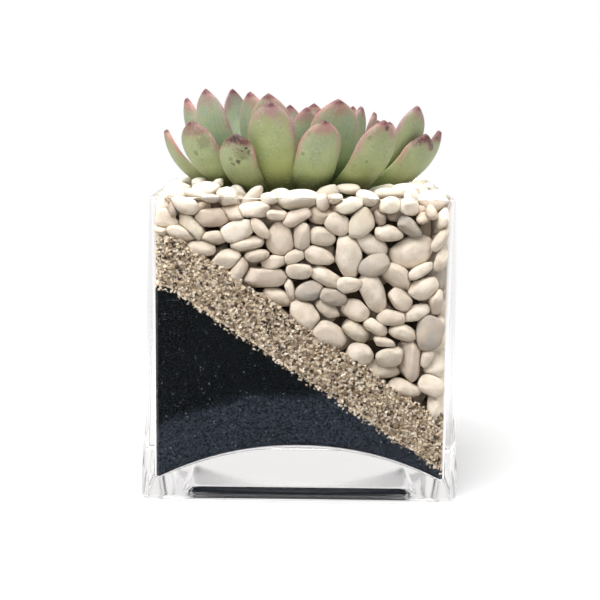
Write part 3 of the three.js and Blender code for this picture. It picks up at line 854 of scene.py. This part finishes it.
def make_leaf(leaf, random):
    """Points, faces and the numbers that colour a leaf: across, along and side."""
    phase, amount = random.uniform(0, 2 * math.pi), random.uniform(*EDGE_WAVE)
    rings, numbers = [], []
    stations = 1 - (1 - np.linspace(0, 1, LEAF_RINGS)) ** RING_SPREAD
    for along in stations:
        spot, tangent = leaf_middle(leaf, along)
        outward, sideways = leaf_heading(leaf, along)
        if along in (0, 1):
            rings.append(np.array([[*(spot[0] * outward), spot[1]]]))
            numbers.append([[0, along, 1]])
            continue
        wave = amount * math.sin(EDGE_WAVES * along + phase) * math.sin(math.pi * along)
        shares, flatwise, outs, sides = leaf_section(leaf, along, wave)
        twist = math.radians(leaf["twist"]) * math.sin((math.pi / 2) * along)
        across = flatwise * math.cos(twist) - outs * math.sin(twist)
        out = flatwise * math.sin(twist) + outs * math.cos(twist)
        radial = spot[0] + out * tangent[1]
        height = spot[1] - out * tangent[0]
        flat = radial[:, None] * outward + across[:, None] * sideways
        rings.append(np.column_stack([flat, height]))
        numbers.append(np.column_stack([shares, np.full(len(shares), along), sides]))
    return *loft(rings), np.vstack(numbers)


LEAF_NUMBERS = ("across", "along", "back", "age", "chance", "scorch")


def make_rosette():
    random = np.random.RandomState(LEAF_SEED)
    parts, numbers = [], []
    for index in range(LEAF_COUNT):
        leaf = leaf_shape(index)
        points, faces, leaf_numbers = make_leaf(leaf, random)
        parts.append((points, faces))
        extra = np.tile([leaf["share"], random.uniform(), leaf["scorch"]], (len(points), 1))
        numbers.append(np.hstack([leaf_numbers, extra]))
    made = new_object("rosette_leaves", *joined(parts))
    for name, values in zip(LEAF_NUMBERS, np.vstack(numbers).T):
        set_numbers(made, name, values)
    made.data.shade_smooth()
    return made


def make_stem():
    side = [(STEM_RADIUS, height) for height in (STEM_BOTTOM, STEM_TOP - STEM_POINT)]
    return turned("rosette_stem", [(0, STEM_BOTTOM), *side, (0, STEM_TOP)])


# Scars on the leaves in front: the pixel across and down in the photograph, half size, strength and colour
DARK = (58, 44, 38)
GREEN = (96, 112, 66)
BROWN = (104, 92, 56)
LEAF_MARKS = (
    (241, 153, 4.2, 0.5, BROWN),
    (203, 142, 3.8, 0.4, BROWN),
    (236, 136, 2.4, 0.8, DARK),
    (233, 140, 1.6, 0.7, DARK),
    (246, 148, 0.8, 0.9, DARK),
    (242, 151, 0.5, 0.8, DARK),
    (241, 143, 0.6, 0.7, DARK),
    (249, 152, 0.9, 0.6, DARK),
    (231, 159, 1.1, 0.6, GREEN),
    (238, 162, 1.4, 0.8, DARK),
    (233, 164, 1.2, 0.7, DARK),
    (242, 158, 0.9, 0.6, GREEN),
    (196, 153, 1.4, 0.6, GREEN),
    (202, 160, 0.8, 0.4, GREEN),
    (303, 154, 1.0, 0.6, GREEN),
    (309, 134, 1.2, 0.4, GREEN),
    (325, 121, 1.0, 0.8, DARK),
    (370, 138, 1.1, 0.5, GREEN),
    (367, 162, 1.0, 0.6, GREEN),
    (387, 128, 1.3, 0.8, DARK),
    (271, 104, 1.2, 0.5, DARK),
)


def picture_ray(across, down):
    """The direction from the camera through a pixel of the photograph."""
    forward, right, up = camera_axes()
    half = PHOTO_WIDTH / 2
    return (forward * PHOTO_FOCAL + right * (across - half) - up * (down - half)).normalized()


def find_marks(leaves):
    """Where each scar lies on the leaves."""
    graph = bpy.context.evaluated_depsgraph_get()
    tree = BVHTree.FromObject(leaves, graph)
    marks = []
    for across, down, *looks in LEAF_MARKS:
        spot, *_ = tree.ray_cast(Vector(CAMERA_PLACE) * MM, picture_ray(across, down))
        if spot is not None:
            marks.append((tuple(spot), *looks))
    return marks


# Materials


def rgb(red, green, blue):
    """A colour for a shader, from its screen values of 0 to 255 by the sRGB curve."""
    channels = [value / 255 for value in (red, green, blue)]
    linear = [c / 12.92 if c <= 0.04045 else ((c + 0.055) / 1.055) ** 2.4 for c in channels]
    return (*linear, 1.0)


class Paint:
    """The nodes of a material or of the world. Most methods add a node and return its output."""

    def __init__(self, name, kind=bpy.data.materials):
        self.owner = kind.new(name)
        self.owner.use_nodes = True
        self.tree = self.owner.node_tree
        self.tree.nodes.clear()

    def node(self, kind, *values, **named):
        """A node. Lower-case names are settings, other names are inputs, and values are its first inputs."""
        made = self.tree.nodes.new("ShaderNode" + kind)
        for name, value in named.items():
            if name.islower():
                setattr(made, name, value)
            else:
                self.feed(made.inputs[name.replace("_", " ")], value)
        for socket, value in zip(made.inputs, values):
            self.feed(socket, value)
        return made

    def feed(self, socket, value):
        if isinstance(value, bpy.types.NodeSocket):
            self.tree.links.new(value, socket)
        else:
            socket.default_value = value

    def place(self):
        return self.node("TexCoord").outputs["Object"]

    def number(self, name):
        return self.node("Attribute", attribute_name=name).outputs["Fac"]

    def math(self, operation, *values):
        return self.node("Math", *values, operation=operation).outputs[0]

    def times(self, first, second, plus=0.0):
        return self.math("MULTIPLY_ADD", first, second, plus)

    def ease(self, value, low, high, start=0.0, end=1.0):
        """A soft step from start to end as the value goes from low to high."""
        made = self.node("MapRange", value, low, high, start, end, interpolation_type="SMOOTHSTEP")
        return made.outputs[0]

    def blend(self, factor, first, second, kind="MIX"):
        made = self.node("Mix", factor, data_type="RGBA", blend_type=kind)
        self.feed(made.inputs[6], first)
        self.feed(made.inputs[7], second)
        return made.outputs[2]

    def tint(self, base, value, low, high, strength, colour):
        """The base with a colour that comes in as the value goes from low to high."""
        return self.blend(self.ease(value, low, high, 0, strength), base, rgb(*colour))

    def noise(self, size, detail=2.0):
        """Soft noise from 0 to 1, with lumps of about the size in millimetres."""
        return self.node("TexNoise", self.place(), Scale=1 / (size * MM), Detail=detail).outputs[0]

    def cells(self, size, output="Color"):
        return self.node("TexVoronoi", self.place(), Scale=1 / (size * MM)).outputs[output]

    def chances(self, size):
        """Three random numbers for each cell."""
        return self.node("SeparateColor", self.cells(size)).outputs

    def ramp(self, factor, stops, steps=False):
        """Colours by place; a stop is its place and then its colour."""
        made = self.node("ValToRGB", Fac=factor)
        made.color_ramp.interpolation = "CONSTANT" if steps else "LINEAR"
        elements = made.color_ramp.elements
        while len(elements) < len(stops):
            elements.new(0.5)
        for element, (position, *colour) in zip(elements, stops):
            element.position = position
            element.color = rgb(*colour)
        return made.outputs[0]

    def bump(self, height, strength, distance):
        made = self.node("Bump", Height=height, Strength=strength, Distance=distance * MM)
        return made.outputs[0]

    def shader(self, kind, **inputs):
        return self.node(kind, **inputs).outputs[0]

    def mixed(self, factor, first, second):
        return self.node("MixShader", factor, first, second).outputs[0]

    def finish(self, colour, roughness, **inputs):
        surface = self.shader("BsdfPrincipled", Base_Color=colour, Roughness=roughness, **inputs)
        return self.output(Surface=surface)

    def output(self, **shaders):
        self.node("OutputMaterial", **shaders)
        return self.owner


MOST_MIRRORINGS = 3  # light that has been mirrored so often inside the glass leaves it


def glass_material():
    """Clear glass; lamps shine straight through it, so that what it holds is lit cleanly."""
    paint = Paint("vase_glass")
    glass = paint.shader(
        "BsdfPrincipled",
        Base_Color=(0.995, 0.985, 0.98, 1),
        Roughness=0.07,
        IOR=1.5,
        Transmission_Weight=1.0,
    )
    depth = paint.shader("VolumeAbsorption", Color=(0.6, 0.56, 0.54, 1), Density=1.1)
    clear = paint.shader("BsdfTransparent", Color=(0.9, 0.9, 0.905, 1))
    path = paint.node("LightPath")
    trapped = paint.math("GREATER_THAN", path.outputs["Glossy Depth"], MOST_MIRRORINGS - 0.5)
    straight = paint.math("MAXIMUM", path.outputs["Is Shadow Ray"], trapped)
    return paint.output(Surface=paint.mixed(straight, glass, clear), Volume=depth)


GRAIN_TONES = (
    (0.0, 76, 64, 54),
    (0.08, 130, 110, 90),
    (0.18, 175, 155, 129),
    (0.33, 208, 189, 162),
    (0.55, 229, 214, 189),
    (0.74, 246, 234, 214),
    (0.93, 216, 207, 192),
)
PEBBLE_TONES = (
    (0.0, 240, 231, 216),
    (0.3, 235, 224, 207),
    (0.55, 228, 216, 199),
    (0.72, 223, 209, 195),
    (0.86, 226, 219, 199),
    (1.0, 212, 200, 184),
)
FLOOR_REFLECTION_TOP = 28  # heights over the vase's floor of the painted reflection, a lighter band on the black sand
FLOOR_REFLECTION_FULL = 21
FLOOR_REFLECTION_WANDER = 5
TOP_LIGHT_START = VASE_HEIGHT - 4  # painted highlight: the pebbles above the rim are painted lighter, for the lamps' light falling straight on the heap
TOP_LIGHT_FULL = VASE_HEIGHT + 1


def black_sand_material():
    """Near-black fine sand with sparse pale specks, and a painted reflection over the arched floor: a
    lighter band that stands in for the white floor mirrored in the glass.
    """
    paint = Paint("black_sand_grain")
    x, y, z = paint.node("SeparateXYZ", paint.place()).outputs
    # painted reflection: from here to the blend below, the sand is painted lighter and bluer over the arched
    # floor, for the white floor mirrored in the glass
    shares = []
    for value in (x, y):
        share = paint.math("DIVIDE", paint.math("ABSOLUTE", value), CAVITY_LOW_HALF * MM)
        shares.append(paint.math("MINIMUM", share, 1))
    arch = paint.math("POWER", paint.times(*shares), FLOOR_POWER)
    arch_height = paint.times(arch, -FLOOR_RISE * MM, (FLOOR_LOW + FLOOR_RISE) * MM)
    above = paint.times(paint.noise(9), FLOOR_REFLECTION_WANDER * MM, paint.math("SUBTRACT", z, arch_height))
    floor_reflection = paint.ease(above, FLOOR_REFLECTION_TOP * MM, FLOOR_REFLECTION_FULL * MM)
    grain = paint.chances(0.55)
    deep = paint.blend(grain[0], rgb(0, 2, 4), rgb(15, 21, 26))
    reflected_colour = paint.blend(grain[0], rgb(8, 12, 20), rgb(68, 76, 88))
    base = paint.blend(floor_reflection, deep, reflected_colour)
    speck = paint.ease(grain[2], 0.3, 1, 0.03, 0.6)
    colour = paint.tint(base, grain[1], 0.972, 0.98, speck, (132, 142, 154))
    slope = paint.times(x, SAND_SLOPE, BLACK_MIDDLE * MM)
    below = paint.math("SUBTRACT", paint.math("MINIMUM", slope, BLACK_CREST * MM), z)
    stray = paint.chances(GRAIN_CELL)
    reach = paint.times(paint.math("POWER", stray[0], 2), STRAY_REACH * MM, GAP * MM)
    tan = paint.math("GREATER_THAN", reach, below)
    colour = paint.blend(tan, colour, paint.ramp(stray[1], GRAIN_TONES, steps=True))
    normal = paint.bump(paint.cells(0.5, "Distance"), 0.5, 0.2)
    return paint.finish(colour, 0.8, Normal=normal, Specular_IOR_Level=0.15)


def tan_grain_material():
    paint = Paint("tan_grains")
    tone = paint.number("tone")
    colour = paint.ramp(tone, GRAIN_TONES, steps=True)
    mottle = paint.ease(paint.noise(0.4), 0.3, 0.7, 0.8, 1.1)
    colour = paint.blend(1.0, colour, mottle, "MULTIPLY")
    roughness = paint.ease(tone, 0.7, 0.95, 0.65, 0.4)
    return paint.finish(colour, roughness, Specular_IOR_Level=0.35)


def tan_body_material():
    """What shows between the grains: the same sand in shade."""
    paint = Paint("tan_sand_grain")
    colour = paint.ramp(paint.chances(0.9)[0], GRAIN_TONES, steps=True)
    dim = paint.blend(0.45, colour, rgb(90, 72, 56))
    normal = paint.bump(paint.cells(0.9, "Distance"), 0.8, 0.4)
    return paint.finish(dim, 0.8, Normal=normal)


def pebble_material():
    """Tumbled stone: cream with warm, pink and green tints, some grey, with fine pits; a painted highlight
    above the rim and painted shade on the second layer.
    """
    paint = Paint("pebble_stone")
    tone = paint.number("tone")
    cream = paint.ramp(tone, PEBBLE_TONES)
    grey = paint.blend(tone, rgb(172, 165, 156), rgb(190, 182, 171))
    base = paint.blend(paint.number("grey"), cream, grey)
    base = paint.tint(base, paint.noise(4, 4), 0.38, 0.66, 0.55, (208, 192, 172))
    z = paint.node("SeparateXYZ", paint.place()).outputs[2]
    # painted highlight: lighter above the rim, where the lamps light the heap directly
    base = paint.tint(base, z, TOP_LIGHT_START * MM, TOP_LIGHT_FULL * MM, 0.55, (250, 245, 232))
    base = paint.tint(base, paint.noise(0.6), 0.58, 0.74, 0.35, (150, 132, 112))
    # painted shade: the pebbles of the second layer, behind the first, are painted darker brown
    base = paint.blend(paint.times(paint.number("second_layer_shade"), 0.35), base, rgb(150, 126, 104))
    height = paint.times(paint.noise(0.5), 0.55, paint.noise(2.2, 3))
    normal = paint.bump(height, 0.55, 0.4)
    return paint.finish(base, 0.68, Normal=normal, Specular_IOR_Level=0.3)


def core_material():
    paint = Paint("pebble_shade")
    colour = paint.blend(paint.noise(3), rgb(66, 52, 42), rgb(104, 84, 66))
    return paint.finish(colour, 0.9)


def soil_material():
    paint = Paint("soil_crumb")
    grain = paint.noise(1.6, 4)
    colour = paint.blend(grain, rgb(40, 28, 20), rgb(92, 70, 52))
    return paint.finish(colour, 0.95, Normal=paint.bump(grain, 0.9, 1.2))


LEAF_APART = 37  # gives each leaf its own stretch of the streaks


def leaf_material(marks):
    """Waxy leaves: olive backs, blue-green fronts, pink margins, maroon points, a few scars, and painted
    shade towards the bases.
    """
    paint = Paint("succulent_leaf")
    across, along, back, age, chance, scorch = (paint.number(name) for name in LEAF_NUMBERS)
    side = paint.math("ABSOLUTE", across)
    patch = paint.noise(6, 3)
    fine = paint.noise(0.9)
    lines = paint.node("CombineXYZ", paint.times(chance, LEAF_APART, across), along, age).outputs[0]
    streak = paint.node("TexNoise", lines, Scale=7.0, Detail=3.0).outputs[0]
    olive = paint.blend(paint.ease(along, 0.45, 0.85), rgb(152, 160, 86), rgb(150, 159, 108))
    glaucous = paint.blend(paint.ease(along, 0.3, 0.9), rgb(106, 130, 86), rgb(152, 168, 146))
    green = paint.times(back, paint.ease(age, 0.12, 0.6, 1, 0.15))
    green = paint.times(green, paint.ease(chance, 0, 1, 0.6, 1))
    base = paint.blend(green, glaucous, olive)
    base = paint.tint(base, patch, 0.35, 0.7, 0.45, (176, 182, 126))
    base = paint.tint(base, streak, 0.48, 0.7, 0.45, (122, 134, 82))
    # painted shade: darker towards the leaf bases, where the leaves crowd together
    base = paint.tint(base, along, 0.64, 0.44, 0.9, (62, 74, 30))
    base = paint.tint(base, along, 0.74, 0.95, 0.32, (122, 110, 86))
    wander = paint.times(patch, 0.36, -0.18)
    rim = paint.math("ADD", side, wander)
    halo = paint.times(paint.ease(rim, 0.6, 1.05), paint.ease(along, 0.6, 0.94, 0, 0.5))
    line = paint.times(paint.ease(rim, 0.86, 0.98), paint.ease(along, 0.55, 0.85, 0, 0.75))
    tip = paint.ease(paint.times(wander, 0.6, along), 0.87, 1, 0, 0.75)
    blush = paint.math("MAXIMUM", paint.math("MAXIMUM", halo, line), tip)
    pink = paint.blend(chance, rgb(178, 108, 112), rgb(162, 112, 128))
    base = paint.blend(blush, base, pink)
    burnt = paint.times(side, 0.04, paint.times(wander, 0.5, along))
    base = paint.tint(base, burnt, 0.89, 0.97, scorch, (92, 54, 50))
    base = paint.tint(base, paint.times(fine, 0.02, along), 0.97, 0.995, 0.85, (92, 34, 44))
    for spot, size, strength, colour in marks:
        apart = paint.node("VectorMath", paint.place(), spot, operation="DISTANCE").outputs["Value"]
        uneven = paint.times(fine, size * MM, apart)
        base = paint.tint(base, uneven, 1.6 * size * MM, 0.9 * size * MM, strength, colour)
    base = paint.tint(base, paint.times(streak, fine), 0.25, 0.4, 0.16, (214, 220, 206))
    height = paint.times(fine, 0.25, paint.math("ADD", patch, streak))
    return paint.finish(
        base,
        0.5,
        Normal=paint.bump(height, 0.3, 0.4),
        Subsurface_Weight=0.1,
        Subsurface_Radius=(0.0015, 0.002, 0.0008),
        Subsurface_Scale=1.0,
        Specular_IOR_Level=0.4,
    )


def stem_material():
    paint = Paint("succulent_stem")
    colour = paint.blend(paint.noise(2, 3), rgb(120, 122, 76), rgb(150, 140, 98))
    return paint.finish(colour, 0.7)


# Stage

FLOOR_DROP = -0.2  # a hair under the vase's foot
FLOOR_GLOW = 0.36  # stands in for the light that reaches the floor under the vase
FLOOR_SOLID = 250
FLOOR_END = 700
FLOOR_MARGIN = 10
SEEN_WHITE = 1.0
FILL_LIGHT = 0.75
CARD_NEAR = -68
CARD_NEAR_HALF = 65
CARD_FAR = -1100
CARD_FAR_HALF = 200
CARD_LOW = 1
CARD_HIGH = 500
LAMPS = (
    ("key", (-0.3, -0.4, 0.95), (0, 0, 0.1), 0.7, 12),
    ("top", (0.25, 0.2, 1.1), (0, 0, 0.12), 0.9, 8),
)


def stage_plane(name, corners, material):
    made = new_object(name, corners, [tuple(range(len(corners)))])
    made.data.materials.append(material)
    return made


def make_floor():
    """A white floor that fades into the white surroundings, so that no horizon shows."""
    paint = Paint("white_floor")
    distance = paint.node("VectorMath", paint.place(), operation="LENGTH").outputs["Value"]
    glow = paint.ease(distance, BASE_HALF * MM, FOOT_INNER_HALF * MM, 0, FLOOR_GLOW)
    matt = paint.shader(
        "BsdfPrincipled",
        Base_Color=rgb(212, 212, 212),
        Roughness=0.9,
        Specular_IOR_Level=0.1,
        Emission_Color=(1, 0.96, 1, 1),
        Emission_Strength=glow,
    )
    fade = paint.ease(distance, FLOOR_SOLID * MM, FLOOR_END * MM)
    material = paint.output(Surface=paint.mixed(fade, matt, paint.shader("BsdfTransparent")))
    wide = FLOOR_END + FLOOR_MARGIN
    corners = [(x * wide, y * wide, FLOOR_DROP) for x, y in ((-1, -1), (1, -1), (1, 1), (-1, 1))]
    stage_plane("floor", corners, material)


def make_dark_cards():
    """Two black cards that show only in the glass, to keep its front from mirroring the white studio."""
    black = Paint("card").finish(rgb(3, 3, 3), 1.0, Specular_IOR_Level=0.0)
    far_edge = [(side * CARD_FAR_HALF, CARD_FAR, CARD_LOW) for side in (-1, 1)]
    near_edge = [(side * CARD_NEAR_HALF, CARD_NEAR, CARD_LOW) for side in (1, -1)]
    high_edge = [(side * CARD_FAR_HALF, CARD_FAR, CARD_HIGH) for side in (1, -1)]
    for name, edge in (("card_low", near_edge), ("card_high", high_edge)):
        card = stage_plane(name, far_edge + edge, black)
        card.visible_camera = card.visible_diffuse = card.visible_shadow = False


def make_surroundings():
    """White all round; it lights matt surfaces less, so that the lamps give them their shape."""
    paint = Paint("studio", bpy.data.worlds)
    from_matt = paint.node("LightPath").outputs["Is Diffuse Ray"]
    strength = paint.ease(from_matt, 0, 1, SEEN_WHITE, FILL_LIGHT)
    paint.node("OutputWorld", paint.shader("Background", Color=(1, 1, 1, 1), Strength=strength))
    bpy.context.scene.world = paint.owner


def make_stage():
    make_floor()
    make_dark_cards()
    make_surroundings()
    bpy.context.scene.view_settings.view_transform = "Standard"


def make_lamps():
    """Two soft boxes; places, targets and sizes in metres, powers in watts."""
    for name, place, target, size, power in LAMPS:
        light = bpy.data.lights.new(name, "AREA")
        light.size = size
        light.energy = power
        made = bpy.data.objects.new(name, light)
        made.location = place
        made.rotation_euler = (Vector(target) - Vector(place)).to_track_quat("-Z", "Y").to_euler()
        bpy.context.scene.collection.objects.link(made)


def camera_axes():
    """The camera's directions forward, right and up."""
    pitch, roll = math.radians(CAMERA_PITCH), math.radians(CAMERA_ROLL)
    forward = Vector((0, math.cos(pitch), -math.sin(pitch)))
    level = Vector((1, 0, 0))
    upright = level.cross(forward)
    right = level * math.cos(roll) + upright * math.sin(roll)
    return forward, right, upright * math.cos(roll) - level * math.sin(roll)


def make_camera():
    data = bpy.data.cameras.new("camera")
    data.sensor_width = SENSOR_WIDTH
    data.lens = PHOTO_FOCAL / PHOTO_WIDTH * SENSOR_WIDTH
    forward, right, up = camera_axes()
    made = bpy.data.objects.new("camera", data)
    made.matrix_world = Matrix((right, up, -forward)).transposed().to_4x4()
    made.location = Vector(CAMERA_PLACE) * MM
    bpy.context.scene.collection.objects.link(made)
    bpy.context.scene.camera = made


make_camera()
make_stage()
make_lamps()

dress(make_vase(), glass_material(), "clear_glass", "glass_vase")
dress(make_black_sand(), black_sand_material(), "black_sand", "black_sand")
dress(make_tan_sand(), tan_body_material(), "tan_sand", "tan_sand")
grains = tan_grain_material()
for wall in range(4):
    dress(make_grains(wall), grains, "tan_sand")
stone = pebble_material()
for piece in make_pebbles():
    dress(piece, stone, "pebbles", "pebble_bed")
dress(make_bed_core(), core_material(), "pebbles")
leaves = make_rosette()
dress(leaves, leaf_material(find_marks(leaves)), "succulent", "rosette")
dress(make_stem(), stem_material(), "succulent")
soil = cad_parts["root_ball"]
soil.data.materials.clear()
soil.data.materials.append(soil_material())
